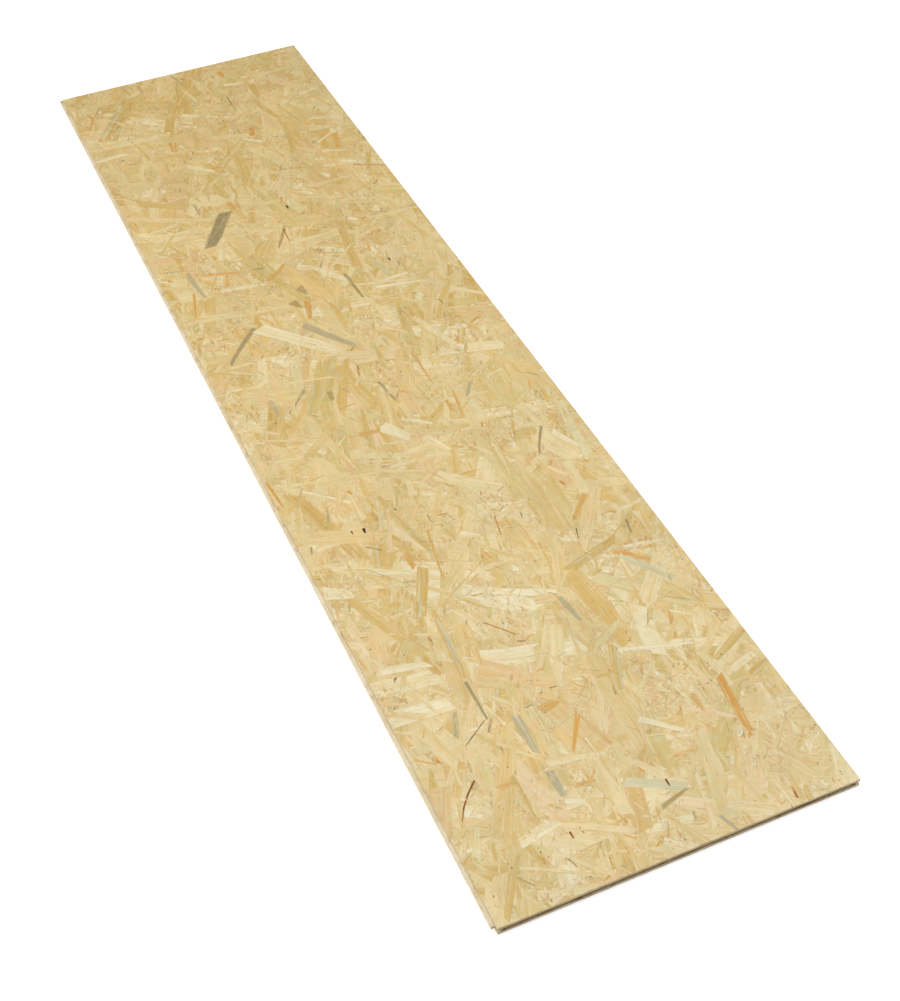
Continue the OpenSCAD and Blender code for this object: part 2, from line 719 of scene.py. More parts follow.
@dataclass(frozen=True)
class StrandFinish:
    """Pressed strands: each has its own tone, with grain along it and, in patches, a fine line of painted
    shade at its rim.
    """

    roughness: float = 0.56
    specular: float = 0.3
    brightness: float = 0.88
    contrast: float = 1.17
    pressed: float = 2.6 * MM
    # Painted shade: how wide the shaded line along each strand's rim is.
    line: float = 1.1 * MM
    warp: float = 5.0 * MM
    # Painted shade: the far end is darkened and made yellower, as if it caught less sheen than the near end.
    far_shade_tint: Colour = (0.99, 0.957, 0.845)
    straw: Colour = (221, 197, 146)
    ochre: Colour = (208, 162, 86)
    # Brown: the colour of the wood's own dark slivers, and of the painted shade along strand and fragment
    # rims.
    brown: Colour = (150, 122, 80)
    cream: Colour = (238, 226, 194)
    golden: Colour = (219, 184, 112)
    pinkish: Colour = (226, 194, 152)
    olive: Colour = (206, 192, 132)
    amber: Colour = (222, 188, 124)
    greenish: Colour = (214, 202, 150)
    stops: Stops = (
        (0.00, (80, 60, 42)),
        (0.04, (110, 60, 42)),
        (0.08, (182, 120, 60)),
        (0.12, (212, 158, 82)),
        (0.17, (218, 174, 100)),
        (0.22, (180, 156, 104)),
        (0.26, (165, 148, 108)),
        (0.30, (187, 173, 135)),
        (0.34, (208, 200, 160)),
        (0.38, (206, 172, 102)),
        (0.44, (208, 178, 111)),
        (0.54, (214, 188, 129)),
        (0.66, (221, 198, 145)),
        (0.78, (225, 204, 155)),
        (0.88, (227, 208, 162)),
        (0.95, (229, 213, 170)),
        (1.00, (232, 219, 182)),
    )
    bed: Stops = (
        (0.30, (212, 185, 125)),
        (0.50, (221, 198, 146)),
        (0.70, (228, 208, 162)),
    )
    fragments: Stops = (
        (0.00, (168, 140, 92)),
        (0.10, (196, 154, 92)),
        (0.22, (212, 182, 124)),
        (0.50, (224, 202, 152)),
        (0.80, (235, 219, 180)),
        (1.00, (242, 232, 206)),
    )

    def make(self) -> bpy.types.Material:
        """Builds the material.

        Returns:
            The finished material.
        """
        look = Surface("pressed_strands", self.roughness, self.specular)
        point = StrandPoint.read(look)
        fine = look.fibre(point.at, 9.0, 330.0, 91.0, 3.0, 0.6)
        colour = self.toned(look, point)
        colour = look.shade(colour, look.spread(fine, 0.93, 1.07))
        colour = look.shade(colour, look.spread(look.grain(point.place, 24.0, 3.0, 0.6), 0.91, 1.09))
        for fineness, strength, tint in (
                ((13.0, 240.0, 37.0), 0.36, self.ochre),
                ((17.0, 310.0, 59.0), 0.34, self.cream)):
            streaks = look.step(look.fibre(point.at, *fineness), 0.58, 0.70)
            colour = look.tinted(streaks, strength, colour, tint)
        colour, bare = self.fines(look, colour, point.place)
        # Painted shade: strands' rims are darkened in patches, standing for the shade in the gaps between
        # overlapping strands.
        seam = look.step(look.grain(point.place, 30.0, 2.0), 0.48, 0.62)
        dark = look.step(point.rim, 0.0, self.line, 1.0, 0.0) * seam
        colour = look.tinted(dark * bare, 0.36, colour, self.brown)
        slivers = look.fibre(point.at, 60.0, 400.0, 29.0, 1.0)
        colour = look.tinted(look.step(slivers, 0.68, 0.77), 0.46, colour, self.brown)
        colour = self.specked(look, colour, point.place)
        colour = look.shade(colour, look.spread(look.grain(point.place, 6.0, 2.0), 0.93, 1.07))
        # Painted shade: darker and yellower towards the far end, standing for the near end's sheen.
        along = look.step(look.parts(point.place)[1], -1.2, 1.2)
        colour = look.mix(along, colour, look.mix(1.0, colour, (*self.far_shade_tint, 1.0), "MULTIPLY"))
        look.cover(self.strengthened(look, colour),
                   look.spread(fine, self.roughness - 0.08, self.roughness + 0.1))
        look.bump(fine + dark * -0.8, 0.25, 0.2 * MM)
        return look.material

    def toned(self, look: Surface, point: StrandPoint) -> Value:
        """A strand's own colour, before its grain.

        Args:
            look: The surface being made.
            point: The point and its strand.

        Returns:
            The colour.
        """
        usual = look.step(point.tone, 0.37, 0.42)
        wander = (look.fibre(point.at, 6.0, 95.0, 53.0, 1.5) - 0.5) * 0.56
        colour = look.ramp(point.tone + wander * usual, self.stops)
        colour = self.softened(look, colour, usual, point)
        hand_laid = point.level > HAND_LEVEL
        colour = look.mix(hand_laid * 0.75, self.hued(look, colour, point), colour)
        return self.blended(look, colour, point)

    def strengthened(self, look: Surface, colour: Value) -> Value:
        """Moves a colour away from plain straw by the finish's contrast, and sets its brightness.

        Args:
            look: The surface being made.
            colour: The colour.

        Returns:
            The new colour.
        """
        straw = srgb(*self.straw)[:3]
        off = look.vector_maths("SUBTRACT", colour, straw)
        more = look.vector_maths("MULTIPLY_ADD", off, (self.contrast,) * 3, straw)
        return look.vector_maths("MULTIPLY", more, (self.brightness,) * 3)

    def hued(self, look: Surface, colour: Value, point: StrandPoint) -> Value:
        """Turns some strands, and patches of others, golden, pinkish or olive.

        Args:
            look: The surface being made.
            colour: The strand's colour.
            point: The point and its strand.

        Returns:
            The colour.
        """
        other = look.maths("FRACT", point.own * 7.31)
        blotches = look.grain(point.place, 46.0, 2.0)
        for mask, strength, tint in (
                (point.own ** 6.0, 0.60, self.golden),
                (look.step(other, 0.74, 1.0), 0.50, self.pinkish),
                (look.step(other, 0.24, 0.0), 0.38, self.olive),
                (look.step(blotches, 0.52, 0.70), 0.46, self.amber),
                (look.step(blotches, 0.46, 0.30), 0.50, self.greenish)):
            colour = look.tinted(mask, strength, colour, tint)
        return colour

    def blended(self, look: Surface, colour: Value, point: StrandPoint) -> Value:
        """Fades a strand's colour towards that of its surroundings along its rim, where it is pressed thin.

        Args:
            look: The surface being made.
            colour: The strand's colour.
            point: The point and its strand; the listed ones fade less.

        Returns:
            The colour.
        """
        around = look.ramp(look.grain(point.place, 34.0, 3.0, 0.6), self.bed)
        reach = look.maths("MINIMUM", point.width * 0.3, self.pressed)
        thin = look.maths("SUBTRACT", 1.0, point.rim / reach, clamp=True)
        share = look.spread(point.level > HAND_LEVEL, 0.6, 0.25)
        return look.mix(thin * share, colour, around)

    def specked(self, look: Surface, colour: Value, place: Value) -> Value:
        """Scatters small brown and rusty specks, a few millimetres apart where they gather.

        Args:
            look: The surface being made.
            colour: The strands' colour.
            place: Where on the piece.

        Returns:
            The colour.
        """
        gathered = look.step(look.grain(place, 9.0, 2.0), 0.40, 0.62)
        shift = look.scaled(look.grain(place, 420.0, 2.0), 4.0 * MM, 2.4 * MM, 0.0)
        ragged = look.vector_maths("ADD", look.scaled(place, 2.3, 0.9, 0.0), shift)
        for spacing, size, tint in (
                (62.0, 0.155, (132, 98, 60)),
                (48.0, 0.14, (192, 132, 66)),
                (120.0, 0.15, (150, 116, 74))):
            own, distance = look.cells(ragged, spacing)
            colour = look.tinted(distance < own * gathered * size, 0.72, colour, tint)
        return colour

    def softened(self, look: Surface, colour: Value, usual: Value, point: StrandPoint) -> Value:
        """Breaks an odd-coloured strand's colour up into streaks that fade towards its rim.

        Args:
            look: The surface being made.
            colour: The strand's colour.
            usual: 1 on strands of the usual tones.
            point: The point and its strand; the listed ones keep more of their colour.

        Returns:
            The colour.
        """
        streaks = look.fibre(point.at, 16.0, 300.0, 71.0, 3.0, 0.6)
        inside = point.rim / (point.width * 0.3)
        whole = inside * 0.35 + look.spread(streaks, -0.6, 1.6) + (point.level > HAND_LEVEL) * 0.32
        thin = look.step(point.width, 4.6 * MM, 6.5 * MM, 1.0, 0.0)
        solid = look.maths("MAXIMUM", look.maths("MAXIMUM", whole, usual), thin, clamp=True)
        return look.mix(solid, srgb(*self.straw), colour)

    def fines(self, look: Surface, colour: Value, place: Value) -> tuple[Value, Value]:
        """Lays small pressed fragments over the strands in patches.

        Args:
            look: The surface being made.
            colour: The strands' colour.
            place: Where on the piece.

        Returns:
            The colour, and 1 where no fragments lie.
        """
        wobble = look.node("ShaderNodeTexNoise", {"Vector": place, "Scale": 160.0}, "Color")
        centred = look.vector_maths("SUBTRACT", wobble, (0.5, 0.5, 0.5))
        warp = look.scaled(centred, self.warp, self.warp, 0.0)
        patches = look.grain(place, 8.0, 3.0, 0.65)
        bare = 1.0
        for start, turn, across, along in (
                (0.49, 0.35, 230.0, 64.0),
                (0.51, -0.5, 300.0, 92.0),
                (0.53, 1.1, 260.0, 80.0)):
            own, near_rim = look.flecks(place, turn, across, along, warp)
            there = (own > 0.70) * look.step(patches, start, start + 0.13)
            inside = there * (1.0 - near_rim)
            tint = look.ramp(look.spread(own, -2.333, 1.0), self.fragments)
            colour = look.mix(inside * 0.58, colour, tint)
            # Painted shade: a brown line along each fragment's rim.
            shaded = there * near_rim * (1.0 - near_rim)
            colour = look.tinted(shaded * 2.4, 0.22, colour, self.brown)
            bare = bare * (1.0 - inside)
        return colour, bare


@dataclass(frozen=True)
class FinesFinish:
    """Pressed fines: the thin bed that shows where no strand covers a broad face."""

    roughness: float = 0.7
    specular: float = 0.3
    brightness: float = 0.85
    stops: Stops = (
        (0.25, (150, 120, 76)),
        (0.42, (196, 168, 114)),
        (0.58, (212, 188, 136)),
        (0.80, (226, 208, 164)),
    )

    def make(self) -> bpy.types.Material:
        """Builds the material.

        Returns:
            The finished material.
        """
        look = Surface("pressed_fines", self.roughness, self.specular)
        tone = look.fibre(look.object_place(), 240.0, 90.0, 1.0, 3.0, 0.6)
        look.cover(look.shade(look.ramp(tone, self.stops), self.brightness),
                   look.spread(tone, self.roughness - 0.1, self.roughness + 0.1))
        look.bump(tone, 0.3, 0.2 * MM)
        return look.material


@dataclass(frozen=True)
class EdgeFinish:
    """Milled edges: cut strands in thin layers, with small gaps between them, darkened with painted shade."""

    name: str
    brightness: float
    gap: float
    paleness: float
    layers: float = 1000.0
    run: float = 16.0
    roughness: float = 0.8
    specular: float = 0.15
    reddish: Colour = (188, 144, 102)
    olive: Colour = (180, 172, 128)
    seam: Colour = (150, 120, 80)
    hollow_shade: Colour = (100, 78, 50)
    stops: Stops = (
        (0.28, (164, 132, 88)),
        (0.38, (200, 170, 124)),
        (0.47, (219, 196, 152)),
        (0.57, (229, 212, 176)),
        (0.72, (238, 226, 198)),
    )

    def make(self) -> bpy.types.Material:
        """Builds the material.

        Returns:
            The finished material.
        """
        look = Surface(self.name, self.roughness, self.specular)
        place = look.object_place()
        ends = look.fibre(place, self.run * 2.6, self.run * 2.6, self.layers, 2.0, 0.55)
        long = look.fibre(place, self.run * 0.7, self.run * 0.7, self.layers * 0.55)
        fuzz = look.fibre(place, 700.0, 700.0, 2200.0, 1.0)
        colour = look.ramp(ends * 0.6 + long * 0.4 + self.paleness, self.stops)
        patches = look.grain(place, 26.0, 2.0)
        colour = look.tinted(look.step(patches, 0.58, 0.74), 0.3 - self.paleness, colour, self.reddish)
        colour = look.tinted(look.step(patches, 0.42, 0.26), 0.3 - self.paleness, colour, self.olive)
        colour = look.shade(colour, look.spread(fuzz, 0.9 * self.brightness, 1.1 * self.brightness))
        seams = look.fibre(place, 34.0, 34.0, 1500.0, 2.0, 0.55)
        colour = look.tinted(look.step(seams, 0.57, 0.66), 0.34, colour, self.seam)
        # Painted shade: the small gaps between layers are darkened where shade falls in them.
        holes = look.step(look.fibre(place, 60.0, 60.0, 560.0, 2.0, 0.6), self.gap, self.gap + 0.06)
        look.cover(look.tinted(holes, 0.6, colour, self.hollow_shade),
                   look.spread(fuzz, self.roughness - 0.1, self.roughness + 0.1))
        look.bump(ends - seams + holes * -0.6, 0.5, 0.3 * MM)
        return look.material


@dataclass(frozen=True)
class FloorFinish:
    """The studio floor: plain, pale and matt, with a trace of unevenness, and a faint glow of painted light
    that fills the panel's shadow on it.
    """

    shade: Colour = (250, 250, 250)
    glow: float = 0.28
    roughness: float = 0.9
    specular: float = 0.1

    def make(self) -> bpy.types.Material:
        """Builds the material.

        Returns:
            The finished material.
        """
        look = Surface("studio_floor", self.roughness, self.specular)
        clouds = look.spread(look.grain(look.object_place(), 1.5, 2.0), 0.995, 1.005)
        look.feed(look.shader.inputs["Base Color"], look.shade(srgb(*self.shade), clouds))
        # Painted light: the floor glows faintly, so that shadows on it fade.
        look.feed(look.shader.inputs["Emission Color"], (1.0, 1.0, 1.0, 1.0))
        look.feed(look.shader.inputs["Emission Strength"], self.glow)
        return look.material


# ---- Sub-assemblies ----


def show(name: str, mesh: bpy.types.Mesh) -> bpy.types.Object:
    """Puts a mesh in the scene as an object at the origin.

    Args:
        name: The object's name.
        mesh: Its mesh.

    Returns:
        The object.
    """
    thing = bpy.data.objects.new(name, mesh)
    bpy.context.scene.collection.objects.link(thing)
    return thing


def triangles(mesh: bpy.types.Mesh) -> int:
    """How many triangles a mesh has."""
    return sum(len(face.vertices) - 2 for face in mesh.polygons)


def with_rims(faces: Sequence[bmesh.types.BMFace]) -> list[Any]:
    """Faces together with their edges and corners, as a cut needs them.

    Args:
        faces: The faces.

    Returns:
        The faces, edges and corners.
    """
    parts: set[Any] = set(faces)
    for face in faces:
        parts.update(face.edges)
        parts.update(face.verts)
    return list(parts)


@dataclass
class StrandFace:
    """The relief of overlapping strands on one broad face of the panel."""

    sizes: PanelSizes
    side: Side
    finish: bpy.types.Material
    count: int
    seed: int
    marks: Sequence[Mark] = ()
    lanes: int = 2
    rows: int = 3
    relief: float = 0.28 * MM
    foot: float = 0.03 * MM
    margin: float = 0.07
    skew: float = 0.35
    gutter: float = 0.002

    @property
    def name(self) -> str:
        """What the face's pieces are called."""
        return "top_strands" if self.side is Side.TOP else "under_strands"

    @property
    def base(self) -> float:
        """Height of the face that the strands lie on."""
        return self.sizes.high.z if self.side is Side.TOP else self.sizes.low.z

    def hand_laid(self) -> bpy.types.Mesh:
        """A point for each listed strand, with its size, form and look.

        Returns:
            A mesh of loose points.
        """
        mesh = bpy.data.meshes.new(self.name + "_points")
        spots = []
        kept: dict[str, list[float]] = {"strand_size": [], "strand_form": [], "strand_look": []}
        for order, mark in enumerate(self.marks):
            across, along = mark.x2 - mark.x1, mark.y2 - mark.y1
            own = (order * 0.618) % 1.0
            level = 0.95 + 0.05 * order / len(self.marks)
            spots.append((self.sizes.left + (mark.x1 + mark.x2) / 2 * MM,
                          self.sizes.near + (mark.y1 + mark.y2) / 2 * MM, 0.0))
            kept["strand_size"] += [math.hypot(across, along) * MM, mark.width * MM, own]
            turn, skew = math.atan2(across, along), self.skew * math.sin(order * 2.4)
            kept["strand_form"] += [turn, mark.taper, skew]
            kept["strand_look"] += [mark.tone.value, mark.bend * MM, level]
        mesh.from_pydata(spots, [], [])
        for name, numbers in kept.items():
            mesh.attributes.new(name, "FLOAT_VECTOR", "POINT").data.foreach_set("vector", numbers)
        return mesh

    def lay(self, tree: bpy.types.NodeTree) -> bpy.types.Mesh:
        """Runs the laying tree.

        Args:
            tree: The laying tree.

        Returns:
            All the strands as one plain mesh, still past the panel's edges.
        """
        thing = show(self.name + "_laying", self.hand_laid())
        lay = thing.modifiers.new("lay", "NODES")
        lay.node_group = tree
        values = {
            "Count": self.count,
            "Seed": self.seed,
            "Low": (self.sizes.left - self.margin, self.sizes.near - self.margin, 0.0),
            "High": (self.sizes.right + self.margin, self.sizes.far + self.margin, 0.0),
            "Base": self.base,
            "Relief": self.relief,
            "Up": float(self.side.value),
            "Material": self.finish,
        }
        for item in tree.interface.items_tree:
            if item.item_type == "SOCKET" and item.in_out == "INPUT" and item.name in values:
                lay[item.identifier] = values[item.name]
        graph = bpy.context.evaluated_depsgraph_get()
        mesh = bpy.data.meshes.new_from_object(thing.evaluated_get(graph), depsgraph=graph)
        spent = thing.data
        thing.modifiers.remove(lay)
        bpy.data.objects.remove(thing)
        bpy.data.meshes.remove(spent)
        return mesh

    def cut_off(self, bm: bmesh.types.BMesh, spot: Sequence[float], way: Sequence[float],
                closed: bool) -> None:
        """Cuts away the strands past a plane.

        Args:
            bm: The strands.
            spot: A point of the plane.
            way: The side that is cut away.
            closed: Whether each cut is closed down to the face.
        """
        cut = bmesh.ops.bisect_plane(bm, geom=bm.verts[:] + bm.edges[:] + bm.faces[:], dist=WELD,
                                     plane_co=spot, plane_no=way, clear_outer=True)
        if not closed:
            return
        foot = self.base - self.side.value * self.foot
        raised = [
            edge for edge in cut["geom_cut"]
            if isinstance(edge, bmesh.types.BMEdge) and edge.is_boundary
            and all(abs(corner.co.z - foot) > 0.02 * MM for corner in edge.verts)]
        for item in bmesh.ops.extrude_edge_only(bm, edges=raised)["geom"]:
            if isinstance(item, bmesh.types.BMVert):
                item.co.z = foot

    def trim(self, bm: bmesh.types.BMesh) -> None:
        """Cuts the strands flush with the panel's four edges.

        Args:
            bm: The strands.
        """
        for edge, axis, way in ((self.sizes.left, 0, -1.0), (self.sizes.right, 0, 1.0),
                                (self.sizes.near, 1, -1.0), (self.sizes.far, 1, 1.0)):
            spot, outwards = Vector(), Vector()
            spot[axis], outwards[axis] = edge, way
            self.cut_off(bm, spot, outwards, True)

    def map_for_bake(self, bm: bmesh.types.BMesh, low: float, high: float) -> None:
        """Lays one lane out flat in rows, each an equal share of the panel's length, lowest strands first.

        Args:
            bm: The lane's strands.
            low: The lane's lesser X.
            high: The lane's greater X.
        """
        near, span = self.sizes.low.y, (self.sizes.high.y - self.sizes.low.y) / self.rows
        for index in range(1, self.rows):
            bmesh.ops.bisect_plane(bm, geom=bm.verts[:] + bm.edges[:] + bm.faces[:], dist=WELD,
                                   plane_co=(0.0, near + span * index, 0.0), plane_no=(0.0, 1.0, 0.0))
        look = bm.verts.layers.float_vector["strand_look"]
        bm.faces.sort(key=lambda face: face.verts[0][look].z)
        sheet = bm.loops.layers.uv.new(BAKE_MAP)
        side_gutter = 3 * self.gutter
        for face in bm.faces:
            row = min(int((face.calc_center_median().y - near) / span), self.rows - 1)
            for loop in face.loops:
                spot = loop.vert.co
                along = (spot.y - near) / span - row
                across = (spot.x - low) / (high - low)
                loop[sheet].uv = (self.gutter + (1 - 2 * self.gutter) * along,
                                  (row + side_gutter + (1 - 2 * side_gutter) * across) / self.rows)

    def build(self, tree: bpy.types.NodeTree) -> list[bpy.types.Object]:
        """Makes the finished pieces, one for each lane along the panel.

        Args:
            tree: The laying tree.

        Returns:
            The pieces.
        """
        laid = self.lay(tree)
        whole = bmesh.new()
        whole.from_mesh(laid)
        self.trim(whole)
        pieces = []
        width = (self.sizes.right - self.sizes.left) / self.lanes
        for lane in range(self.lanes):
            low = self.sizes.left + width * lane
            bm = whole.copy()
            if lane > 0:
                self.cut_off(bm, (low, 0.0, 0.0), (-1.0, 0.0, 0.0), False)
            if lane < self.lanes - 1:
                self.cut_off(bm, (low + width, 0.0, 0.0), (1.0, 0.0, 0.0), False)
            self.map_for_bake(bm, low, low + width)
            mesh = laid.copy()
            bm.to_mesh(mesh)
            bm.free()
            name = f"{self.name}_{lane + 1}"
            mesh.name = name
            piece = show(name, mesh)
            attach(piece, "root")
            pieces.append(piece)
            LOG.info("%s: %d triangles", name, triangles(mesh))
        whole.free()
        bpy.data.meshes.remove(laid)
        return pieces


@dataclass
class MilledBody:
    """The panel itself: its milled tongue and groove edges, torn a little where strand ends break away."""

    sizes: PanelSizes
    source: bpy.types.Object
    ends: bpy.types.Material
    sides: bpy.types.Material
    broad: bpy.types.Material
    bays_long: int = 408
    bays_wide: int = 100
    broad_area: float = 0.5
    tear: float = 0.55 * MM
    tears_along: float = 60.0
    tears_through: float = 420.0
    edge_rows: int = 4
    band: float = 0.056
    band_fill: float = 0.92
    gutter: float = 0.002
    name: str = "milled_body"

    def cut_into_bays(self, bm: bmesh.types.BMesh, axis: int, low: float, high: float, bays: int) -> None:
        """Cuts the narrow faces into short bays along one axis, so that the edges can be torn.

        Args:
            bm: The body's mesh.
            axis: 0 to cut across X, 1 to cut across Y.
            low: Where the first bay starts.
            high: Where the last bay ends.
            bays: How many bays there are.
        """
        way = Vector()
        way[axis] = 1.0
        left = [face for face in bm.faces if face.calc_area() < self.broad_area]
        for index in range(1, bays):
            place = low + (high - low) * index / bays
            cut = bmesh.ops.bisect_plane(bm, geom=with_rims(left), dist=WELD,
                                         plane_co=way * place, plane_no=way)
            left = [
                face for face in cut["geom"]
                if isinstance(face, bmesh.types.BMFace)
                and max(corner.co[axis] for corner in face.verts) > place + 1e-6]

    def cut_levels(self, bm: bmesh.types.BMesh) -> None:
        """Cuts the edges' upright faces along their length, to have a row of points inside each.

        Args:
            bm: The body's mesh.
        """
        middle, inside = self.sizes.middle, 2.2 * MM
        for level in (inside, middle - 1.0 * MM, middle + 1.0 * MM, self.sizes.high.z - inside):
            narrow = [face for face in bm.faces if face.calc_area() < self.broad_area]
            bmesh.ops.bisect_plane(bm, geom=with_rims(narrow), dist=WELD,
                                   plane_co=(0.0, 0.0, level), plane_no=(0.0, 0.0, 1.0))

    def tear_edges(self, bm: bmesh.types.BMesh) -> None:
        """Sinks points of the edges inwards where strand ends have torn out, but not the broad faces' rims.

        Args:
            bm: The body's mesh.
        """
        low, high = self.sizes.low.z + 0.1 * MM, self.sizes.high.z - 0.1 * MM
        shifts = []
        for point in bm.verts:
            if not low <= point.co.z <= high:
                continue
            sideways = Vector((0.0, 0.0, 0.0))
            for face in point.link_faces:
                if abs(face.normal.z) < 0.5:
                    sideways += face.normal
            if sideways.length < 0.3:
                continue
            spot = Vector((point.co.x * self.tears_along, point.co.y * self.tears_along,
                           point.co.z * self.tears_through))
            ragged = noise.noise(spot * 2.3) * 0.12
            torn = max(noise.noise(spot) - 0.28, 0.0) * 1.9
            shifts.append((point, sideways.normalized() * -(ragged + torn) * self.tear))
        for point, shift in shifts:
            point.co += shift

    def side_of(self, face: bmesh.types.BMFace) -> str:
        """Which of the panel's four edges a narrow face belongs to.

        Args:
            face: The face.

        Returns:
            The edge: left, right, near or far.
        """
        centre, normal = face.calc_center_median(), face.normal
        if abs(normal.x) > 0.7:
            return "left" if normal.x < 0 else "right"
        if abs(normal.y) > 0.7:
            return "near" if normal.y < 0 else "far"
        gaps = {
            "left": abs(centre.x - self.sizes.left),
            "right": abs(centre.x - self.sizes.right),
            "near": abs(centre.y - self.sizes.near),
            "far": abs(centre.y - self.sizes.far),
        }
        return min(gaps, key=gaps.get)

    def map_for_bake(self, bm: bmesh.types.BMesh) -> None:
        """Lays the edges out in rows, with the two broad faces small above them, and gives each its finish.

        Args:
            bm: The body's mesh.
        """
        sheet = bm.loops.layers.uv.new(BAKE_MAP)
        low, high, rows = self.sizes.low, self.sizes.high, self.edge_rows
        size = high - low
        for face in bm.faces:
            if face.calc_area() > self.broad_area:
                face.material_index = 2
                for loop in face.loops:
                    spot = loop.vert.co
                    loop[sheet].uv = (0.01 + 0.98 * (spot.y - low.y) / size.y,
                                      0.6 + 0.38 * (spot.x - low.x) / size.x)
                continue
            side = self.side_of(face)
            face.material_index = 1 if side in ("left", "right") else 0
            centre = face.calc_center_median()
            for loop in face.loops:
                spot = loop.vert.co
                deep = {"left": spot.x - low.x, "right": high.x - spot.x,
                        "near": spot.y - low.y, "far": high.y - spot.y}[side]
                if side in ("left", "right"):
                    row = min(int((centre.y - low.y) / size.y * rows), rows - 1)
                    across = (spot.y - low.y) / size.y * rows - row
                    first = row + (rows if side == "right" else 0)
                else:
                    across = (spot.x - low.x) / size.x * 0.97
                    first = 2 * rows + (side == "far")
                rolled = first + self.band_fill * self.unrolled(deep, spot.z, face.normal.z)
                loop[sheet].uv = (self.gutter + (1 - 2 * self.gutter) * across,
                                  2 * self.gutter + self.band * rolled)

    def unrolled(self, deep: float, height: float, facing: float) -> float:
        """A place on an edge's profile as if the profile were rolled out flat.

        Args:
            deep: How far in from the outermost plane of this side.
            height: Height above the underside.
            facing: The face's normal along Z.

        Returns:
            The place, from 0 at the underside to 1 at the top.
        """
        thick = self.sizes.high.z - self.sizes.low.z
        fold, half_tongue = self.sizes.groove, self.sizes.tongue_root * 0.4
        walk = height - self.sizes.low.z
        if abs(facing) > 0.5:
            walk += deep if height < self.sizes.middle else 2 * fold - deep
        elif height > self.sizes.middle + half_tongue:
            walk += 2 * fold
        elif height > self.sizes.middle - half_tongue:
            walk += fold
        return walk / (thick + 2 * fold)

    def build(self) -> bpy.types.Object:
        """Makes the finished piece.

        Returns:
            The piece, which stands for the frame's node.
        """
        bm = bmesh.new()
        bm.from_mesh(self.source.data)
        bmesh.ops.remove_doubles(bm, verts=bm.verts, dist=1e-6)
        bmesh.ops.dissolve_limit(bm, angle_limit=0.01, verts=bm.verts, edges=bm.edges)
        self.cut_into_bays(bm, 1, self.sizes.low.y, self.sizes.high.y, self.bays_long)
        self.cut_into_bays(bm, 0, self.sizes.low.x, self.sizes.high.x, self.bays_wide)
        self.cut_levels(bm)
        bm.normal_update()
        self.map_for_bake(bm)
        self.tear_edges(bm)
        mesh = bpy.data.meshes.new(self.name)
        bm.to_mesh(mesh)
        bm.free()
        for finish in (self.ends, self.sides, self.broad):
            mesh.materials.append(finish)
        piece = show(self.name, mesh)
        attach(piece, "root")
        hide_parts(NODE)
        LOG.info("%s: %d triangles", self.name, triangles(mesh))
        return piece


@dataclass
class Studio:
    """A pale floor, soft lights and the camera."""

    sizes: PanelSizes
    drop: float = 0.35 * MM
    floor_half: float = 30.0

    def floor(self) -> None:
        """Lays the floor just under the lowest strands."""
        mesh = bpy.data.meshes.new("floor")
        half, level = self.floor_half, self.sizes.low.z - self.drop
        corners = [(-half, -half, level), (half, -half, level), (half, half, level), (-half, half, level)]
        mesh.from_pydata(corners, [], [(0, 1, 2, 3)])
        mesh.materials.append(FloorFinish().make())
        show("floor", mesh)

    def lamp(self, name: str, place: tuple[float, float, float], aim: tuple[float, float, float],
             size: tuple[float, float], power: float, colour: tuple[float, float, float]) -> None:
        """Hangs one soft rectangular lamp.

        Args:
            name: The lamp's name.
            place: Where it hangs.
            aim: Where it points.
            size: Its width and height.
            power: Its power in watts.
            colour: Its colour.
        """
        light = bpy.data.lights.new(name, "AREA")
        light.shape = "RECTANGLE"
        light.size, light.size_y = size
        light.energy = power
        light.color = colour
        thing = bpy.data.objects.new(name, light)
        thing.location = place
        thing.rotation_euler = (Vector(aim) - Vector(place)).to_track_quat("-Z", "Y").to_euler()
        bpy.context.scene.collection.objects.link(thing)

    def lights(self) -> None:
        """Hangs the lamps and sets the sky."""
        self.lamp("key", (-2.6, 0.7, 3.2), (0.0, 0.1, 0.0), (2.6, 2.6), 65.0, (1.0, 0.90, 0.79))
        self.lamp("front", (0.1, -0.9, 2.9), (0.0, -1.0, 0.0), (2.2, 2.0), 40.0, (0.87, 0.935, 1.0))
        self.sky()

    def sky(self) -> None:
        """Sets an even white sky, brighter low down, where the floor ends."""
        sky = bpy.data.worlds.new("studio")
        sky.use_nodes = True
        sheet = NodeSheet(sky.node_tree)
        ground = sky.node_tree.nodes["Background"]
        upwards = sheet.parts(sheet.node("ShaderNodeTexCoord", (), "Generated"))[2]
        sheet.feed(ground.inputs["Color"], (1.0, 1.0, 1.0, 1.0))
        sheet.feed(ground.inputs["Strength"], sheet.step(upwards, 0.0, 0.4, 0.95, 0.58))
        bpy.context.scene.world = sky

    def camera(self) -> None:
        """Sets up the camera, looking down the panel's length from its near left corner."""
        lens = bpy.data.cameras.new("camera")
        lens.lens = 56.285
        lens.sensor_width = 36.0
        lens.shift_x, lens.shift_y = 0.0158, 0.0016
        lens.clip_start, lens.clip_end = 0.05, 100.0
        thing = bpy.data.objects.new("camera", lens)
        thing.location = (-0.7677, -2.2324, 1.9395)
        thing.rotation_euler = [math.radians(turn) for turn in (45.373, 1.6583, -23.6494)]
        bpy.context.scene.collection.objects.link(thing)
        bpy.context.scene.camera = thing

    def build(self) -> None:
        """Makes the whole studio."""
        self.floor()
        self.lights()
        self.camera()
        bpy.context.scene.view_settings.view_transform = "Standard"
        LOG.info("studio: floor, lamps and camera")


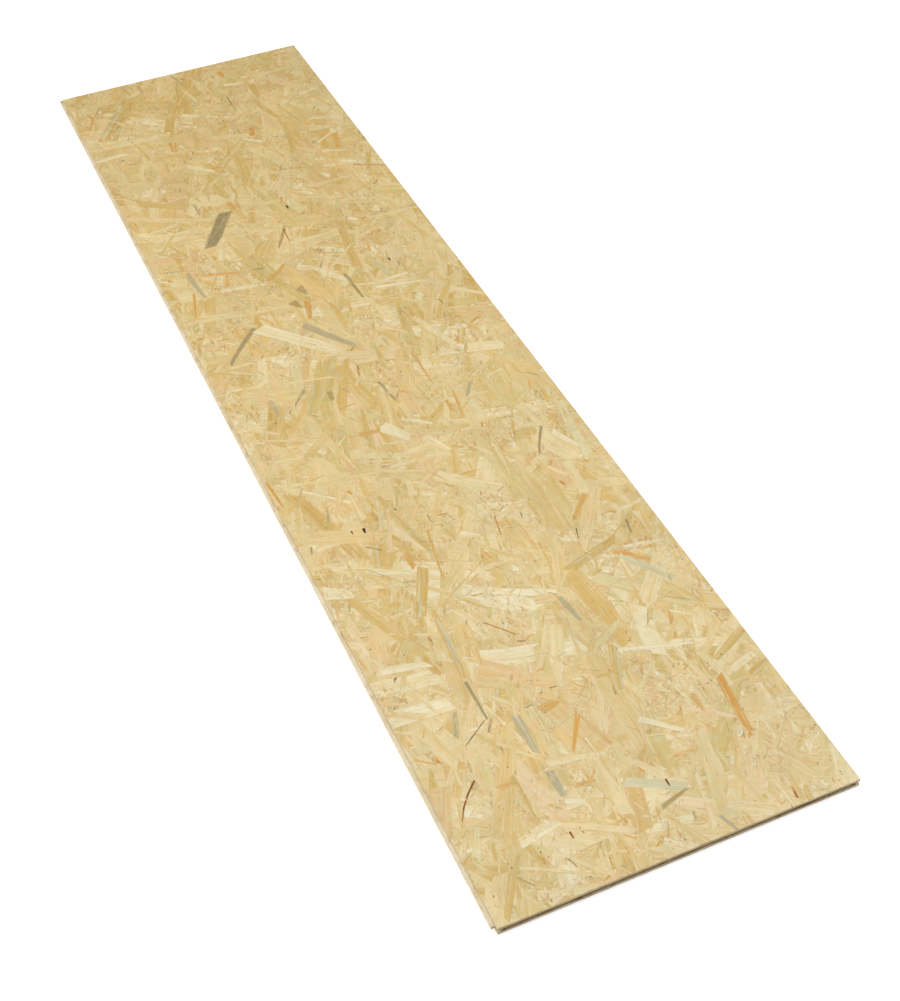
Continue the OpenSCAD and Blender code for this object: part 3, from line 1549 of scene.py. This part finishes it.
T = Tone
BOARD_MARKS: tuple[Mark, ...] = (
    # Painted shadow: the grey-brown strand at x 139, y 333 to 412, stands for shade in a gap between strands.
    Mark(139, 412, 139, 333, 6, T.GREY_BROWN), Mark(135, 331, 87, 298, 2, T.DARK, 0.6),
    Mark(70, 238, 25, 181, 3.5, T.RED_BROWN, 0.6, 4), Mark(180, 318, 180, 244, 15, T.GREY),
    Mark(182, 204, 182, 158, 15, T.GREY), Mark(218, 312, 256, 318, 18, T.OCHRE, 0.5),
    Mark(270, 283, 230, 221, 9, T.ORANGE), Mark(502, 250, 488, 134, 14, T.ORANGE, 0.0),
    Mark(447, 245, 447, 206, 9, T.OCHRE), Mark(280, 138, 350, 98, 17, T.GREY_GREEN, 0.2),
    Mark(331, 120, 331, 108, 4, T.RED_BROWN), Mark(161, 98, 161, 86, 4, T.RED_BROWN),
    Mark(300, 78, 350, 92, 9, T.OLIVE, 0.5), Mark(85, 106, 162, 118, 12, T.CREAM),
    Mark(370, 33, 380, 2, 7, T.GREY), Mark(98, 208, 128, 208, 12, T.OCHRE),
    Mark(72, 93, 15, 3, 14, T.TAN), Mark(127, 223, 127, 143, 9, T.GOLD),
    Mark(205, 166, 235, 162, 8, T.OCHRE), Mark(350, 233, 402, 184, 12, T.CREAM),
    Mark(500, 95, 530, 35, 32, T.STRAW), Mark(178, 141, 206, 135, 22, T.CREAM, 0.7),
    Mark(587, 323, 517, 286, 16, T.GOLD), Mark(550, 238, 590, 252, 14, T.GOLD),
    Mark(382, 383, 352, 293, 14, T.GOLD), Mark(387, 368, 502, 331, 9, T.CREAM),
    Mark(119, 793, 118, 780, 6, T.DARK), Mark(98, 796, 97, 788, 3, T.DARK),
    Mark(162, 708, 162, 670, 12, T.OCHRE), Mark(172, 657, 130, 567, 20, T.GOLD, 0.2),
    Mark(152, 567, 140, 417, 12, T.GOLD, 0.2), Mark(217, 742, 197, 632, 5, T.OCHRE),
    Mark(336, 724, 327, 677, 3, T.RUST), Mark(478, 753, 482, 741, 7, T.RUST),
    Mark(500, 702, 455, 655, 12, T.OCHRE), Mark(450, 637, 443, 614, 2, T.DARK),
    # Painted shadow: the grey-brown strand at x 530 to 537, y 587 to 617, stands for shade in a gap between
    # strands.
    Mark(537, 617, 530, 587, 5, T.GREY_BROWN), Mark(490, 547, 540, 467, 14, T.GREY_GREEN),
    Mark(352, 507, 360, 452, 10, T.GREY), Mark(215, 512, 252, 467, 3, T.RUST),
    Mark(249, 452, 261, 447, 2.5, T.DARK), Mark(25, 487, 107, 467, 16, T.CREAM, 0.2),
    Mark(87, 702, 140, 637, 2, T.GREY), Mark(521, 650, 531, 642, 7, T.ORANGE),
    Mark(5, 680, 45, 660, 30, T.CREAM, 0.5), Mark(262, 712, 295, 690, 14, T.CREAM),
    Mark(505, 562, 570, 552, 10, T.CREAM), Mark(390, 555, 500, 588, 20, T.GOLD, 0.2),
    Mark(85, 1182, 86, 1133, 8, T.GREY), Mark(195, 1158, 193, 1132, 12, T.OLIVE),
    Mark(290, 1145, 300, 1077, 7, T.GREY_BROWN), Mark(272, 1205, 263, 1175, 4, T.RUST),
    Mark(382, 1195, 382, 1098, 6, T.OCHRE), Mark(318, 1102, 332, 1090, 11, T.ORANGE, 0.6),
    Mark(246, 1025, 285, 970, 28, T.CREAM, 0.4), Mark(285, 1030, 337, 990, 10, T.CREAM),
    Mark(198, 1020, 242, 1014, 12, T.OCHRE), Mark(447, 1067, 422, 1028, 8, T.GREY),
    Mark(511, 897, 475, 832, 6, T.GREY_BROWN, 0.5, 2), Mark(128, 892, 132, 880, 8, T.ORANGE),
    Mark(419, 955, 414, 942, 4, T.RUST), Mark(5, 970, 11, 900, 6, T.ORANGE),
    Mark(385, 1040, 383, 1005, 7, T.OCHRE), Mark(408, 1060, 395, 985, 6, T.OCHRE),
    Mark(525, 875, 550, 825, 14, T.CREAM), Mark(90, 925, 200, 912, 10, T.STRAW),
    Mark(308, 962, 332, 915, 16, T.CREAM), Mark(131, 1407, 47, 1312, 12, T.GREY_BROWN, 0.4, 2),
    Mark(220, 1368, 290, 1263, 18, T.GREY, 0.4, 2), Mark(140, 1393, 255, 1263, 32, T.CREAM, 0.3),
    Mark(62, 1633, 72, 1538, 12, T.GREY), Mark(55, 1563, 35, 1488, 6, T.ORANGE),
    Mark(255, 1438, 240, 1378, 12, T.ORANGE), Mark(205, 1533, 260, 1578, 10, T.OCHRE, 0.5, 4),
    Mark(357, 1490, 362, 1398, 8, T.OLIVE), Mark(255, 1490, 266, 1464, 20, T.OLIVE, 0.6),
    Mark(225, 1452, 236, 1424, 20, T.OLIVE, 0.6), Mark(460, 1505, 460, 1494, 4, T.DARK),
    Mark(325, 1397, 325, 1369, 12, T.OCHRE, 0.6), Mark(115, 1548, 197, 1530, 14, T.CREAM),
    Mark(402, 1420, 500, 1400, 10, T.CREAM), Mark(203, 1812, 138, 1708, 29, T.GREY_BROWN, 0.1),
    Mark(307, 1712, 265, 1639, 8, T.OLIVE), Mark(297, 1702, 294, 1649, 3, T.RUST),
    Mark(525, 1867, 589, 1831, 5, T.RUST), Mark(152, 1873, 152, 1826, 8, T.GREY),
    Mark(180, 2028, 230, 1980, 14, T.CREAM), Mark(333, 1781, 333, 1767, 6, T.DARK),
    Mark(222, 1846, 228, 1816, 15, T.OCHRE), Mark(535, 2018, 520, 1950, 15, T.OCHRE),
    Mark(95, 1926, 101, 1908, 8, T.OCHRE), Mark(334, 1816, 328, 1797, 3, T.RUST),
    Mark(183, 2142, 175, 2093, 20, T.OCHRE, 0.5), Mark(380, 2403, 382, 2366, 13, T.OCHRE),
    Mark(45, 2326, 22, 2268, 5, T.ORANGE), Mark(72, 2366, 50, 2328, 5, T.GREY),
    Mark(360, 2276, 360, 2204, 3, T.GREY_BROWN), Mark(420, 2372, 433, 2349, 3, T.RUST),
    Mark(268, 2432, 286, 2364, 6, T.GREY), Mark(430, 2302, 430, 2238, 16, T.GOLD),
    Mark(374, 2331, 406, 2321, 12, T.CREAM), Mark(240, 2240, 280, 2218, 16, T.CREAM),
    Mark(180, 2422, 185, 2380, 10, T.GOLD),
)


def main() -> None:
    """Builds the panel and its studio."""
    logging.basicConfig(level=logging.INFO, format="%(name)s: %(message)s")
    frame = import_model()
    low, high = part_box(NODE)
    sizes = PanelSizes(Vector(low), Vector(high))
    MilledBody(
        sizes,
        frame["nodes"][NODE],
        ends=EdgeFinish("milled_ends", brightness=0.58, gap=0.60, paleness=0.0).make(),
        sides=EdgeFinish("milled_sides", brightness=0.80, gap=0.74, paleness=0.12).make(),
        broad=FinesFinish().make(),
    ).build()
    tree = LayingTree().tree
    finish = StrandFinish().make()
    StrandFace(sizes, Side.TOP, finish, count=27000, seed=4, marks=BOARD_MARKS).build(tree)
    StrandFace(sizes, Side.UNDER, finish, count=18000, seed=23).build(tree)
    Studio(sizes).build()


if __name__ == "__main__":
    main()
